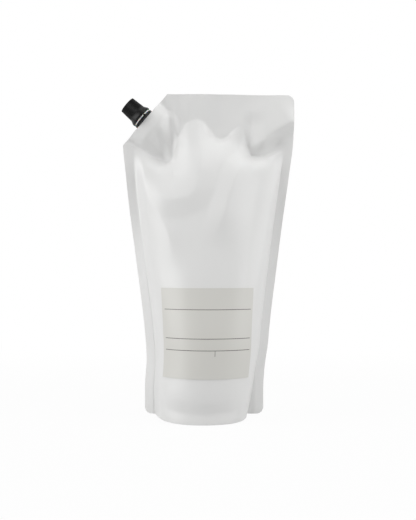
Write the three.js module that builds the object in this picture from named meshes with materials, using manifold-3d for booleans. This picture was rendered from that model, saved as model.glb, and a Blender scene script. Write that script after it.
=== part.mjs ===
// A hand soap refill pack, in millimetres, +Z up. A pouch of laminated film is filled with soap and sealed
// all round. A moulded spout is welded into its cut-off upper left corner, and a screw cap with a tamper
// band closes the spout. The pouch stands on its foot at z = 0, its front faces -Y, and the origin is the
// middle of the foot.

import * as THREE from "three";
import { mergeVertices } from "three/addons/utils/BufferGeometryUtils.js";
import Module from "manifold-3d";

// The film pouch, sealed flat along its sides, its top and its cut corner.
const packWidth = 150;
const packHeight = 283;
const sealWidth = 7.5;
const sealThickness = 0.8;
const topCornerRadius = 6.5;
const cutRun = 39.3;
const cutRise = 45.4;
const topLean = 3.7;
const topSag = 1.2;
const leftCurl = 4.4;
const rightCurl = 1.6;

// The opened foot, with its skirt below the weld and an ear at each end.
const footWidth = 103.5;
const footDepth = 80;
const skirtHeight = 8;
const skirtWall = 0.9;
const leftEarWidth = 8.5;
const rightEarWidth = 14.5;
const earHeight = 62;
const earLift = 4.4;
const earCornerRadius = 5.5;
const footFlatWidth = 44;
const footFlatDepth = 46;
const grooveHeight = 6;
const grooveWidth = 5;

// The closure, along the axis that leaves the cut corner at its middle, square to the cut.
const boreRadius = 4.3;
const neckWall = 1.15;
const neckLipWidth = 0.4;
const boatHalfLength = 15;
const boatWall = 1.3;
const boatHeight = 10;
const boatTip = 0.5;
const eyeMargin = 3;
const eyeReach = 34;
const flangeThickness = 0.8;
const threadLead = 3;
const threadTurns = 1.5;
const threadDepth = 0.7;
const threadWidth = 1;
const threadDrop = 2;
const beadHeight = 0.5;
const bandRadius = 9.8;
const bandWall = 1.8;
const bandHeight = 1.4;
const bandChamferRun = 1.2;
const bandChamferRise = 0.9;
const bridgeCount = 4;
const bridgeWidth = 1.6;
const bridgeDepth = 0.4;
const bridgeTurn = 16;
const skirtRadius = 9.9;
const capSkirtHeight = 1.85;
const skirtRoomRadius = 8.85;
const skirtRoomHeight = 1.7;
const flareHeight = 3.05;
const gripFootRadius = 8.3;
const gripTopRadius = 7.6;
const gripHeight = 12.2;
const ribCount = 44;
const ribDepth = 0.35;
const capRoof = 1.3;
const capEdge = 0.5;
const linerThickness = 1;
const clearance = 0.35;

// The self-adhesive front label.
const labelWidth = 86;
const labelHeight = 76;
const labelBottom = 38.6;
const labelShift = -0.6;
const labelThickness = 0.3;

// Colours and finishes.
const filmFinish = { color: 0xe2e2e0, roughness: 0.45, metalness: 0 };
const labelFinish = { color: 0xcfcec8, roughness: 0.6, metalness: 0 };
const blackFinish = { color: 0x1c1c1c, roughness: 0.4, metalness: 0 };
const spoutFinish = { color: 0xe8e8e4, roughness: 0.4, metalness: 0 };
const discFinish = { color: 0xf4f4f0, roughness: 0.7, metalness: 0 };

const wasm = await Module();
wasm.setup();

// A function through [t, value] pairs that rises and falls without overshooting them.
function curveThrough(pairs) {
  const slope = (i) => (pairs[i + 1][1] - pairs[i][1]) / (pairs[i + 1][0] - pairs[i][0]);
  const tangent = pairs.map((_, i) => {
    if (i === 0) return slope(0);
    if (i === pairs.length - 1) return slope(i - 1);
    const [before, after] = [slope(i - 1), slope(i)];
    return before * after <= 0 ? 0 : (2 * before * after) / (before + after);
  });
  return (t) => {
    let i = 0;
    while (i < pairs.length - 2 && t > pairs[i + 1][0]) i++;
    const span = pairs[i + 1][0] - pairs[i][0];
    const s = THREE.MathUtils.clamp((t - pairs[i][0]) / span, 0, 1);
    const rise = pairs[i + 1][1] - pairs[i][1];
    const bend = s * (1 - s) * ((1 - s) * (tangent[i] * span - rise) - s * (tangent[i + 1] * span - rise));
    return pairs[i][1] + s * rise + bend;
  };
}

// How the pouch leans aside, widens and thins from its round foot to its flat top, by share of its height.
const leaning = curveThrough([[0, 0], [0.06, 0], [0.24, 0.68], [0.6, 0.64], [0.84, 0.92], [1, 1]]);
const widening = curveThrough([
  [0, 0], [0.14, 0], [0.26, 0.1], [0.5, 0.45], [0.74, 0.82], [0.87, 0.98], [1, 1],
]);
const fullness = curveThrough([
  [0, 0.95], [0.03, 0.96], [0.1, 1], [0.23, 1], [0.364, 0.91], [0.474, 0.81], [0.583, 0.69], [0.686, 0.56],
  [0.777, 0.42], [0.83, 0.34], [0.9, 0.26], [1, 0.2],
]);
const roundness = curveThrough([[0, 0.42], [0.1, 0.47], [0.35, 0.54], [0.7, 0.68], [1, 0.8]]);

const halfWidth = (z) => (footWidth + (packWidth - footWidth) * widening(z / packHeight)) / 2;
const middle = (z) => topLean * leaning(z / packHeight);
const cutBottom = packHeight - cutRise;
const cutTopX = middle(packHeight) - packWidth / 2 + cutRun;
const cutLength = Math.hypot(cutRun, cutRise);
const cutMiddle = new THREE.Vector3(cutTopX - cutRun / 2, 0, packHeight - cutRise / 2);
const sealHalf = sealThickness / 2;

// The left edge follows the cut above its lower end, and the right one rounds the top corner.
function leftEdge(z) {
  const straight = middle(z) - halfWidth(z);
  return z > cutBottom ? Math.max(straight, cutTopX - ((packHeight - z) * cutRun) / cutRise) : straight;
}

function rightEdge(z) {
  const over = Math.max(0, z - (packHeight - topCornerRadius));
  const inset = topCornerRadius - Math.sqrt(Math.max(0, topCornerRadius ** 2 - over ** 2));
  return middle(z) + halfWidth(z) - inset;
}

// The filled part between the side seals, which grow into ears of four layers towards the foot.
function cellAt(z) {
  const growth = Math.max(0, 1 - z / earHeight) ** 2;
  const [left, right] = [leftEdge(z), rightEdge(z)];
  const widest = (right - left) / 4;
  return {
    left: left + Math.min(widest, sealWidth + (leftEarWidth - sealWidth) * growth),
    right: right - Math.min(widest, sealWidth + (rightEarWidth - sealWidth) * growth),
  };
}

// The lines of the film's lobes and folds are drawn on a pack of this size, and follow a pack of another one.
const [drawnWidth, drawnHeight] = [150, 283];
const placed = ([x, z]) => [(x * packWidth) / drawnWidth, (z * packHeight) / drawnHeight];

// The filled part ends in lobes. Above this line the two panels lie flat together, and below it they part.
const lobeLine = [
  [-90, 236], [-57, 238], [-53, 236], [-47, 230], [-38, 225], [-31.5, 223], [-28, 227], [-24, 237],
  [-22, 248], [-16, 258], [-8, 262], [0.5, 259], [5.5, 251], [10.5, 245], [15.5, 243], [20.5, 246],
  [27, 254], [32.5, 257], [36, 248], [38, 237], [41, 229], [52, 229], [62, 233], [68.5, 237], [90, 236],
].map(placed);
const partingReach = 13;
const partingHalfSpan = Math.ceil(packWidth * 0.6);
const partingLow = Math.floor(packHeight * 0.6);
const partingRounds = 400;

function lobeHeight(x) {
  const i = Math.max(0, Math.min(lobeLine.length - 2, lobeLine.findIndex(([end]) => end > x) - 1));
  const [[x0, z0], [x1, z1]] = [lobeLine[i], lobeLine[i + 1]];
  return z0 + (z1 - z0) * THREE.MathUtils.clamp((x - x0) / (x1 - x0), 0, 1);
}

// On a grid of whole millimetres: from 0 on the lobe line to 1 well below it, as a film under pressure leaves
// a clamped edge.
function partingField() {
  const columns = 2 * partingHalfSpan + 1;
  const rows = Math.ceil(packHeight) - partingLow + 1;
  const filled = Array.from({ length: rows * columns }, (_, i) => {
    return Math.floor(i / columns) + partingLow < lobeHeight((i % columns) - partingHalfSpan) ? 1 : 0;
  });
  const pull = 1 / partingReach ** 2;
  let field = filled.slice();
  for (let round = 0; round < partingRounds; round++) {
    const last = field;
    field = last.map((_, i) => {
      if (!filled[i]) return 0;
      const [row, column] = [Math.floor(i / columns), i % columns];
      const left = last[column > 0 ? i - 1 : i];
      const right = last[column < columns - 1 ? i + 1 : i];
      const under = last[row > 0 ? i - columns : i];
      const over = last[row < rows - 1 ? i + columns : i];
      return (left + right + under + over + pull) / (4 + pull);
    });
  }
  return { field, columns, rows };
}

const parted = partingField();

function parting(x, z) {
  const { field, columns, rows } = parted;
  const across = THREE.MathUtils.clamp(x + partingHalfSpan, 0, columns - 1.001);
  const up = THREE.MathUtils.clamp(z - partingLow, 0, rows - 1.001);
  const i = Math.floor(up) * columns + Math.floor(across);
  const [a, b] = [across % 1, up % 1];
  const low = field[i] * (1 - a) + field[i + 1] * a;
  const high = field[i + columns] * (1 - a) + field[i + columns + 1] * a;
  return low * (1 - b) + high * b;
}

// A fold: the line that its crest follows downwards, the reach of its straight flanks to the left and the right
// of that way, and how far it stands out. A minus sign makes it stand in.
const foldRound = 1.5;
const foldFade = 0.3;

function fold(points, left, right, height) {
  const knots = points.map(placed);
  const steps = 6 * knots.length;
  const [acrossAt, upAt] = [0, 1].map((k) => {
    return curveThrough(knots.map((knot, i) => [i / (knots.length - 1), knot[k]]));
  });
  const line = Array.from({ length: steps }, (_, i) => {
    const share = i / (steps - 1);
    return [acrossAt(share), upAt(share)];
  });
  const spans = line.slice(1).map(([x, z], i) => Math.hypot(x - line[i][0], z - line[i][1]));
  const whole = spans.reduce((sum, span) => sum + span, 0);
  return (x, z) => {
    let nearest = Infinity;
    let along = 0;
    let flank = left;
    let run = 0;
    spans.forEach((span, i) => {
      const [x0, z0] = line[i];
      const [dx, dz] = [(line[i + 1][0] - x0) / span, (line[i + 1][1] - z0) / span];
      const t = THREE.MathUtils.clamp((x - x0) * dx + (z - z0) * dz, 0, span);
      const away = Math.hypot(x - x0 - t * dx, z - z0 - t * dz);
      if (away < nearest) {
        nearest = away;
        along = (run + t) / whole;
        flank = dx * (z - z0) - dz * (x - x0) < 0 ? right : left;
      }
      run += span;
    });
    const { smoothstep } = THREE.MathUtils;
    const fade = smoothstep(along, 0, foldFade) * smoothstep(1 - along, 0, foldFade);
    const slope = 1 - (Math.hypot(nearest, foldRound) - foldRound) / flank;
    return (height * fade * (slope + Math.sqrt(slope ** 2 + 0.02))) / 2;
  };
}

const footWeld = fold([[-40, 16], [-22, 10.5], [0, 8.5], [20, 10], [38, 15]], 8, 6, -1.4);
const frontFolds = [
  fold([[-58, 244], [-55, 220], [-50, 200], [-38, 176], [-30, 156], [-27, 128]], 15, 14, 3),
  fold([[-54, 206], [-40, 196], [-28, 190], [-14, 193], [-5, 204], [-3, 222], [-1, 244]], 24, 15, 3.2),
  fold([[76, 238], [56, 230], [40, 223], [28, 211], [17, 176], [8, 146]], 20, 13, 4.4),
  fold([[64, 224], [57, 180], [51, 140], [46, 80]], 9, 12, 1.6),
  footWeld,
];
const backFolds = [
  fold([[-46, 226], [-28, 190], [-18, 146]], 13, 15, 2.4),
  fold([[36, 228], [20, 196], [10, 156]], 16, 12, 2.8),
  footWeld,
];
const topFolds = [
  fold([[92, 268], [74, 258], [60, 250], [50, 240], [38, 226]], 9, 32, 6.5),
  fold([[42, 270], [40, 248], [39, 224]], 6, 7, -3),
  fold([[74, 240], [58, 237], [46, 232], [36, 224]], 6, 5, -2),
  fold([[-38, 278], [-32, 254], [-29.5, 240], [-29, 220]], 5, 9, 3.6),
  fold([[-54, 260], [-44, 249], [-36, 238], [-30, 222]], 10, 5, -2.2),
  fold([[-24, 292], [-22, 262], [-20, 246]], 8, 8, -1.6),
  fold([[12, 292], [12, 240]], 12, 10, -1.8),
];

// Where the film is drawn over the spout's boat: along the cut, and how far the film stands out.
const boatHalfThickness = boreRadius + boatWall;
const eyeHalfLength = boatHalfLength + eyeMargin;
const eyeHalfThickness = boatHalfThickness + clearance + sealThickness;
const boatOutline = (share) => Math.max(0, 1 - share * share) ** 0.8;

function spoutSwell(x, z) {
  const along = ((x - cutMiddle.x) * cutRun + (z - cutMiddle.z) * cutRise) / cutLength;
  const inward = ((x - cutMiddle.x) * cutRise - (z - cutMiddle.z) * cutRun) / cutLength;
  const fade = THREE.MathUtils.smoothstep(eyeReach - inward, 0, eyeReach - boatHeight - clearance);
  return eyeHalfThickness * boatOutline(along / eyeHalfLength) * fade;
}

// How far one panel stands off the middle at a point of the front view. The left flank leaves its seal softly.
const leftSoftness = 0.4;
const leftEnd = 1.1;

function panelSwell(x, z, folds) {
  const cell = cellAt(z);
  const left = z > cutBottom ? middle(z) - halfWidth(z) + sealWidth : cell.left;
  const share = THREE.MathUtils.clamp((2 * x - left - cell.right) / (cell.right - left), -1, 1);
  const round = roundness(z / packHeight);
  const low = 1 - THREE.MathUtils.smoothstep(z / packHeight, 0.42, 0.81);
  const roundLeft = round * (1 + leftSoftness * low);
  const power = share < 0 ? roundLeft + (leftEnd - roundLeft) * share ** 12 : round;
  const section = (1 - share * share) ** power;
  const apart = parting(x, z);
  const held = Math.min(1, 1.4 * apart) * Math.min(1, 3 * section);
  const full = (footDepth / 2) * fullness(z / packHeight) * section * apart;
  const folded = folds.reduce((sum, each) => sum + each(x, z), 0);
  return Math.max(sealHalf, spoutSwell(x, z), full + held * folded);
}

// The flat top waves to and fro, but not where the boat stiffens it, and the side seals curl to the back.
function filmSway(x, z) {
  const { clamp, smoothstep } = THREE.MathUtils;
  const free = (1 - smoothstep(spoutSwell(x, z), 0, boatHalfThickness / 2)) * (1 - parting(x, z));
  const onLeft = clamp(1 - (x - leftEdge(z)) / sealWidth, 0, 1);
  const onRight = clamp(1 - (rightEdge(z) - x) / sealWidth, 0, 1);
  const curlLeft = leftCurl * onLeft * (1 - smoothstep(z / packHeight, 0.42, 0.8));
  const curlRight = rightCurl * onRight * (1 - smoothstep(z / packHeight, 0.21, 0.71));
  const folded = topFolds.reduce((sum, each) => sum + each(x, z), 0);
  return curlLeft + curlRight - free * folded;
}

const frontAt = (x, z) => filmSway(x, z) - panelSwell(x, z, frontFolds);
const backAt = (x, z) => filmSway(x, z) + panelSwell(x, z, backFolds);

// Every solid is made as a closed surface, and cut or joined as one. Triangles that fold to a line are dropped.
function solidFrom(geometry) {
  const bare = geometry.clone();
  bare.deleteAttribute("normal");
  bare.deleteAttribute("uv");
  const merged = mergeVertices(bare, 1e-4);
  const index = merged.index.array;
  const faces = [];
  for (let i = 0; i < index.length; i += 3) {
    const [a, b, c] = index.subarray(i, i + 3);
    if (a !== b && b !== c && c !== a) faces.push(a, b, c);
  }
  return new wasm.Manifold(
    new wasm.Mesh({
      numProp: 3,
      vertProperties: new Float32Array(merged.attributes.position.array),
      triVerts: new Uint32Array(faces),
    }),
  );
}

function geometryFrom(solid) {
  const mesh = solid.getMesh();
  const geometry = new THREE.BufferGeometry();
  geometry.setAttribute("position", new THREE.BufferAttribute(mesh.vertProperties, 3));
  geometry.setIndex(new THREE.BufferAttribute(mesh.triVerts, 1));
  geometry.computeVertexNormals();
  return geometry;
}

function named(name, geometry, finish) {
  const mesh = new THREE.Mesh(geometry, new THREE.MeshStandardMaterial(finish));
  mesh.name = name;
  return mesh;
}

// The skin through rings of points, each ring closed and joined to the next. Both halves of a ring are cut
// into triangles alike, so that the two panels of a pouch can't cross between the points. The first and the
// last ring are closed by strips between their two halves, which meet at the ring's first point.
function solidThroughRings(rings) {
  const count = rings[0].length;
  const index = [];
  const quad = (a, b, c, d) => index.push(a, b, c, a, c, d);
  for (let j = 0; j + 1 < rings.length; j++)
    for (let i = 0; i < count; i++) {
      const step = (i + 1) % count;
      const [a, b, c, d] = [j * count + i, (j + 1) * count + i, (j + 1) * count + step, j * count + step];
      if (i < count / 2) quad(a, b, c, d);
      else quad(b, c, d, a);
    }
  const last = (rings.length - 1) * count;
  for (let i = 0; i < count / 2; i++) {
    const [a, b, c, d] = [i, i + 1, count - i - 1, (count - i) % count];
    quad(d, a, b, c);
    quad(last + a, last + d, last + c, last + b);
  }
  const geometry = new THREE.BufferGeometry();
  geometry.setAttribute("position", new THREE.Float32BufferAttribute(rings.flat(2), 3));
  geometry.setIndex(index);
  return solidFrom(geometry);
}

// One horizontal line of points across the pouch's front view: seal, filled part, seal.
const finSteps = 2;
const foldZone = 60;
const cellSteps = 40;
const leastCrowding = 0.35;

// The columns crowd towards the seals where the section is round, and spread more evenly towards the flat top.
function columnsAt(z) {
  const cell = cellAt(z);
  const [leftSeal, rightSeal] = [cell.left - leftEdge(z), rightEdge(z) - cell.right];
  const spread = THREE.MathUtils.smoothstep(z, earHeight, cutBottom - foldZone);
  const crowding = 1 - (1 - leastCrowding) * spread;
  const columns = [];
  for (let i = 0; i < finSteps; i++) columns.push(leftEdge(z) + (leftSeal * i) / finSteps);
  for (let i = 0; i <= cellSteps; i++) {
    const even = i / cellSteps;
    const across = even + crowding * ((1 - Math.cos(Math.PI * even)) / 2 - even);
    columns.push(cell.left + (cell.right - cell.left) * across);
  }
  for (let i = 1; i <= finSteps; i++) columns.push(cell.right + (rightSeal * i) / finSteps);
  return columns;
}

// The foot's rim: it touches the ground in front and behind, and lifts towards the two ears.
function rimHeight(x) {
  const share = THREE.MathUtils.clamp(panelSwell(x, 0, []) / (footDepth / 2), 0, 1);
  const fromEnd = Math.min(x - leftEdge(0), rightEdge(0) - x);
  const over = Math.max(0, earCornerRadius - fromEnd);
  const corner = earCornerRadius - Math.sqrt(Math.max(0, earCornerRadius ** 2 - over ** 2));
  return earLift * (1 - share) ** (x < 0 ? 1.3 : 2) + corner;
}

// The heights of the rows, by zone: the skirt, the ears, the filled part, the cut and the rounded top corner.
function rowHeights() {
  const between = (from, to, steps) => {
    return Array.from({ length: steps }, (_, i) => from + ((to - from) * i) / steps);
  };
  const roundSteps = 3;
  const round = Array.from({ length: roundSteps }, (_, i) => {
    return packHeight - topCornerRadius * (1 - Math.sin((Math.PI / 2) * (i / roundSteps)));
  });
  return [
    ...between(0, skirtHeight, 2),
    ...between(skirtHeight, earHeight, 8),
    ...between(earHeight, cutBottom - foldZone, 10),
    ...between(cutBottom - foldZone, cutBottom, 14),
    ...between(cutBottom, packHeight - topCornerRadius, 11),
    ...round,
    packHeight,
  ];
}

// The underside from the back rim to the front one: skirt, groove, and the gusset pressed flat on the ground.
function undersideAt(x, rim) {
  const half = panelSwell(x, 0, []);
  const open = THREE.MathUtils.clamp((half - sealHalf) / (footDepth / 2 - sealHalf), 0, 1);
  const wall = Math.min(skirtWall, half * 0.5);
  const groove = Math.min(wall + grooveWidth, half * 0.7);
  const flat = Math.min(Math.max(half * 0.15, (footFlatDepth / 2) * Math.sqrt(open)), (half - groove) * 0.8);
  const { left, right } = cellAt(0);
  const beyond = Math.abs(x - (left + right) / 2) - footFlatWidth / 2;
  const ends = THREE.MathUtils.clamp(beyond / ((right - left - footFlatWidth) / 2), 0, 1) ** 2;
  const hollow = grooveHeight * Math.sqrt(open);
  const floor = ends * (rim + hollow);
  return [
    [half - wall, rim], [half - groove, rim + hollow], [flat, floor], [0, floor], [-flat, floor],
    [-half + groove, rim + hollow], [-half + wall, rim],
  ];
}

// Rings that start under the foot, run up the front, over the top edge and down the back, from left to right.
function pouchSkin() {
  const heights = rowHeights();
  const rings = columnsAt(0).map((footX, i) => {
    const rim = rimHeight(footX);
    const at = (z, panel) => {
      const x = columnsAt(z)[i];
      const { smoothstep } = THREE.MathUtils;
      const sag = topSag * smoothstep(x, 0, 0.4 * packWidth) * smoothstep(z, cutBottom, packHeight);
      return [x, panel(x, z), z + rim * Math.max(0, 1 - z / earHeight) - sag];
    };
    const bent = filmSway(footX, 0);
    const under = undersideAt(footX, rim).map(([y, z]) => [footX, bent + y, z]);
    const middleOfUnder = (under.length - 1) / 2;
    return [
      ...under.slice(middleOfUnder),
      ...heights.map((z) => at(z, frontAt)),
      ...heights.map((z) => at(z, backAt)).reverse(),
      ...under.slice(0, middleOfUnder),
    ];
  });
  return solidThroughRings(rings);
}

// A solid of revolution about the local Z axis, from a [radius, height] profile that closes on itself.
function turned(profile, segments = turnSegments) {
  const points = [...profile, profile[0]].map(([r, z]) => new THREE.Vector2(r, z));
  return solidFrom(new THREE.LatheGeometry(points, segments).rotateX(Math.PI / 2));
}

function drum(radius, from, to) {
  return turned([[0, from], [radius, from], [radius, to], [0, to]]);
}

// Heights along the closure's axis, from the cut edge of the film outwards.
const neckRadius = boreRadius + neckWall;
const threadRadius = neckRadius + threadDepth;
const flangeBase = clearance;
const flangeRadius = bandRadius - bandWall - clearance;
const bandBase = flangeBase + clearance;
const bandTop = bandBase + bandHeight;
const beadBase = bandTop + clearance;
const beadTop = beadBase + beadHeight;
const beadRadius = bandRadius - bridgeDepth - clearance;
const capBase = beadTop + clearance;
const capTop = capBase + capSkirtHeight + flareHeight + gripHeight;
const neckTop = capTop - capRoof - linerThickness - 2 * clearance;
const cavityRadius = threadRadius + clearance;
const turnSegments = 40;

// The boat below the flange: pointed at both ends, it fills the pocket that the film is welded round.
function boatOutlinePoints(grow) {
  const steps = 9;
  const [length, thick] = [boatHalfLength + grow, boatHalfThickness + grow];
  const half = Array.from({ length: steps + 1 }, (_, i) => {
    const share = Math.cos((Math.PI * i) / steps);
    return [share * length, Math.max((boatTip / 2) * (grow > 0 ? 2 : 1), thick * boatOutline(share))];
  });
  return [...half, ...half.map(([x, y]) => [x, -y]).reverse()].map(([x, y]) => new THREE.Vector2(x, y));
}

function boatBlock(grow, from, to) {
  const shape = new THREE.Shape(boatOutlinePoints(grow));
  const geometry = new THREE.ExtrudeGeometry(shape, { depth: to - from, bevelEnabled: false });
  return solidFrom(geometry.translate(0, 0, from));
}

// The helical ridge of the neck's thread, rooted in the middle of the neck's wall and running out at both ends.
function threadRidge() {
  const steps = Math.round(24 * threadTurns);
  const start = neckTop - threadDrop - threadLead * threadTurns - threadWidth;
  const root = neckRadius - neckWall / 2;
  const crestWidth = threadWidth / 2;
  const rings = Array.from({ length: steps + 1 }, (_, i) => {
    const turn = (2 * Math.PI * threadTurns * i) / steps;
    const z = start + (threadLead * threadTurns * i) / steps;
    const crest = i === 0 || i === steps ? neckRadius - neckWall / 4 : threadRadius;
    const section = [
      [root, z + threadWidth],
      [crest, z + (threadWidth + crestWidth) / 2],
      [crest, z + (threadWidth - crestWidth) / 2],
      [root, z],
    ];
    return section.map(([r, height]) => [r * Math.cos(turn), r * Math.sin(turn), height]);
  });
  return solidThroughRings(rings);
}

// The spout: the boat, the flange inside the tamper band, the bead that holds the band down and shows in the
// slit under the cap, and the threaded neck, all bored through.
function spoutSolid() {
  const neck = turned([
    [0, -boatHeight], [neckRadius, -boatHeight], [neckRadius, neckTop - neckLipWidth],
    [neckRadius - neckLipWidth, neckTop], [0, neckTop],
  ]);
  const flange = drum(flangeRadius, flangeBase, flangeBase + flangeThickness);
  const bead = drum(beadRadius, beadBase, beadTop);
  const boat = boatBlock(0, -boatHeight, flangeBase);
  const bore = drum(boreRadius, -2 * boatHeight, 2 * neckTop);
  return neck.add(flange).add(bead).add(boat).add(threadRidge()).subtract(bore);
}

// The tamper band, with its bridges reaching up round the bead to just below the cap.
function bandSolid() {
  const inner = bandRadius - bandWall;
  const band = turned([
    [inner, bandBase], [bandRadius - bandChamferRun, bandBase], [bandRadius, bandBase + bandChamferRise],
    [bandRadius, bandTop], [inner, bandTop],
  ]);
  const bridgeFoot = bandTop - bridgeDepth;
  const bridgeHeight = capBase - clearance - bridgeFoot;
  const bridges = Array.from({ length: bridgeCount }, (_, i) => {
    const bridge = new THREE.BoxGeometry(bridgeDepth, bridgeWidth, bridgeHeight);
    bridge.translate(bandRadius - bridgeDepth / 2, 0, bridgeFoot + bridgeHeight / 2);
    bridge.rotateZ(THREE.MathUtils.degToRad(bridgeTurn) + (2 * Math.PI * i) / bridgeCount);
    return solidFrom(bridge);
  });
  return bridges.reduce((whole, bridge) => whole.add(bridge), band);
}

// The cap: a skirt, a flare, a ribbed grip and a flat roof. The outside steps in and out at every rib.
function capSolid() {
  const outside = [
    [skirtRadius, capBase, 0], [skirtRadius, capBase + capSkirtHeight, 0],
    [gripFootRadius, capBase + capSkirtHeight + flareHeight, 0],
    [gripFootRadius, capBase + capSkirtHeight + flareHeight + capEdge, ribDepth],
    [gripTopRadius, capTop - capEdge, ribDepth], [gripTopRadius - capEdge, capTop, 0],
  ];
  const segments = 2 * ribCount;
  const rings = Array.from({ length: segments }, (_, i) => {
    const turn = (2 * Math.PI * i) / segments;
    return outside.map(([r, z, depth]) => {
      const radius = r - depth * (i % 2);
      return [radius * Math.cos(turn), radius * Math.sin(turn), z];
    });
  });
  const points = [...rings.flat(), [0, 0, capBase], [0, 0, capTop]];
  const index = [];
  const count = outside.length;
  for (let j = 0; j < segments; j++) {
    const [here, next] = [j * count, ((j + 1) % segments) * count];
    for (let i = 0; i + 1 < count; i++) {
      index.push(here + i, next + i, next + i + 1, here + i, next + i + 1, here + i + 1);
    }
    index.push(points.length - 2, next, here, points.length - 1, here + count - 1, next + count - 1);
  }
  const shell = new THREE.BufferGeometry();
  shell.setAttribute("position", new THREE.Float32BufferAttribute(points.flat(), 3));
  shell.setIndex(index);
  const roomTop = capBase + skirtRoomHeight;
  const cavity = turned([
    [0, 0], [skirtRoomRadius, 0], [skirtRoomRadius, roomTop],
    [cavityRadius, roomTop + skirtRoomRadius - cavityRadius],
    [cavityRadius, capTop - capRoof], [0, capTop - capRoof],
  ]);
  return solidFrom(shell).subtract(cavity);
}

// The sealing disc between the cap's roof and the neck's mouth.
function linerSolid() {
  return drum(cavityRadius - clearance, neckTop + clearance, neckTop + clearance + linerThickness);
}

// A point at a distance in front of the pouch's front skin, square to it.
function beforeFront(x, z, distance) {
  const step = 0.5;
  const slopeX = (frontAt(x + step, z) - frontAt(x - step, z)) / (2 * step);
  const slopeZ = (frontAt(x, z + step) - frontAt(x, z - step)) / (2 * step);
  const out = new THREE.Vector3(slopeX, -1, slopeZ).setLength(distance);
  return [x + out.x, frontAt(x, z) + out.y, z + out.z];
}

// Where a label of a fixed width ends on the curved front: the way from its middle is measured along the skin.
function acrossSkin(z, way) {
  const steps = 40;
  const stride = way / steps;
  let x = middle(z);
  for (let i = 0; i < steps; i++) {
    const rise = frontAt(x + stride / 2, z) - frontAt(x - stride / 2, z);
    x += stride / Math.hypot(1, rise / stride || 0);
  }
  return x;
}

// The label follows the pouch's front, upright and as wide as it was cut.
function labelSolid() {
  const [across, up] = [22, 10];
  const rows = Array.from({ length: up + 1 }, (_, j) => labelBottom + (labelHeight * j) / up);
  const rings = Array.from({ length: across + 1 }, (_, i) => {
    const way = labelShift + labelWidth * (i / across - 0.5);
    const at = (z, distance) => beforeFront(acrossSkin(z, way), z, distance);
    return [
      ...rows.map((z) => at(z, clearance + labelThickness)),
      ...rows.map((z) => at(z, clearance)).reverse(),
    ];
  });
  return solidThroughRings(rings);
}

const closure = new THREE.Group();
closure.position.copy(cutMiddle);
closure.rotation.y = -Math.atan2(cutRise, cutRun);
closure.updateMatrix();

const pocket = boatBlock(clearance, -boatHeight - clearance, flangeBase)
  .transform(closure.matrix.elements.slice());
const pouch = pouchSkin().subtract(pocket);

closure.add(
  named("spout", geometryFrom(spoutSolid()), spoutFinish),
  named("tamper_band", geometryFrom(bandSolid()), blackFinish),
  named("cap_liner", geometryFrom(linerSolid()), discFinish),
  named("cap", geometryFrom(capSolid()), blackFinish),
);

const refillPack = new THREE.Group();
refillPack.add(
  named("pouch", geometryFrom(pouch), filmFinish),
  named("front_label", geometryFrom(labelSolid()), labelFinish),
  closure,
);

export default refillPack;
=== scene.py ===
import math

import bpy
import numpy as np
from mathutils import Matrix, Vector


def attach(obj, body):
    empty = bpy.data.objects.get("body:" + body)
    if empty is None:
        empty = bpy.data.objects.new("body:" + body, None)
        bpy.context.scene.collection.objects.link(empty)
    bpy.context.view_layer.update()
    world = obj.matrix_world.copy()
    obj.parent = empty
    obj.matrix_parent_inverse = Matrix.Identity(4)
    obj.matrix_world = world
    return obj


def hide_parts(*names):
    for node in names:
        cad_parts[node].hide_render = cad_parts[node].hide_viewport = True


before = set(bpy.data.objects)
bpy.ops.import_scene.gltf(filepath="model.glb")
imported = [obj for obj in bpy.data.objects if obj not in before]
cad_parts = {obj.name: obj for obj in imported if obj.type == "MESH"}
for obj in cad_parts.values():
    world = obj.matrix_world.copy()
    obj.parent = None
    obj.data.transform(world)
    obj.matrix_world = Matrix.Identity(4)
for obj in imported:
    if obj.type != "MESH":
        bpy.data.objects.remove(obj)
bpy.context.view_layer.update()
bpy.ops.object.select_all(action="DESELECT")

# The pouch is made of matt laminated film: a front and a back panel, sealed flat along the sides, the top and
# the cut corner, and a gusset that opens into the foot. Filled tight, the panels swell out of the seals and
# crease where they meet the flat, empty top. It is one lofted shell, and every size is in millimetres.
mm = 0.001
pack_width = 150
pack_height = 283
seal_width = 7.5
seal_half = 0.25
top_corner_radius = 6.5
cut_run = 39.3
cut_rise = 45.4
top_lean = 3.7
foot_width = 103.5
foot_depth = 80
skirt_height = 8
skirt_wall = 0.5
left_ear_width = 8.5
right_ear_width = 14.5
ear_height = 62
ear_lift = 4.4
ear_corner_radius = 5.5
foot_flat_width = 44
groove_height = 6
groove_width = 5
edge_round = 0.06


def curve_through(pairs):
    """A smooth curve through [share, value] pairs that never overshoots them."""
    t, y = np.array(pairs, float).T
    span = np.diff(t)
    slope = np.diff(y) / span
    both = slope[:-1] * slope[1:]
    inner = np.where(both > 0, 2 * both / np.where(both > 0, slope[:-1] + slope[1:], 1), 0)
    tangent = np.concatenate([slope[:1], inner, slope[-1:]])

    def value(q):
        q = np.clip(q, t[0], t[-1])
        i = np.clip(np.searchsorted(t, q) - 1, 0, len(span) - 1)
        s = (q - t[i]) / span[i]
        rise = y[i + 1] - y[i]
        start = (1 - s) * (tangent[i] * span[i] - rise)
        end = s * (tangent[i + 1] * span[i] - rise)
        return y[i] + s * rise + s * (1 - s) * (start - end)

    return value


def smooth_step(value, low, high):
    """From 0 at the low value to 1 at the high one, with no kink at either."""
    share = np.clip((value - low) / (high - low), 0, 1)
    return share * share * (3 - 2 * share)


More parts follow.
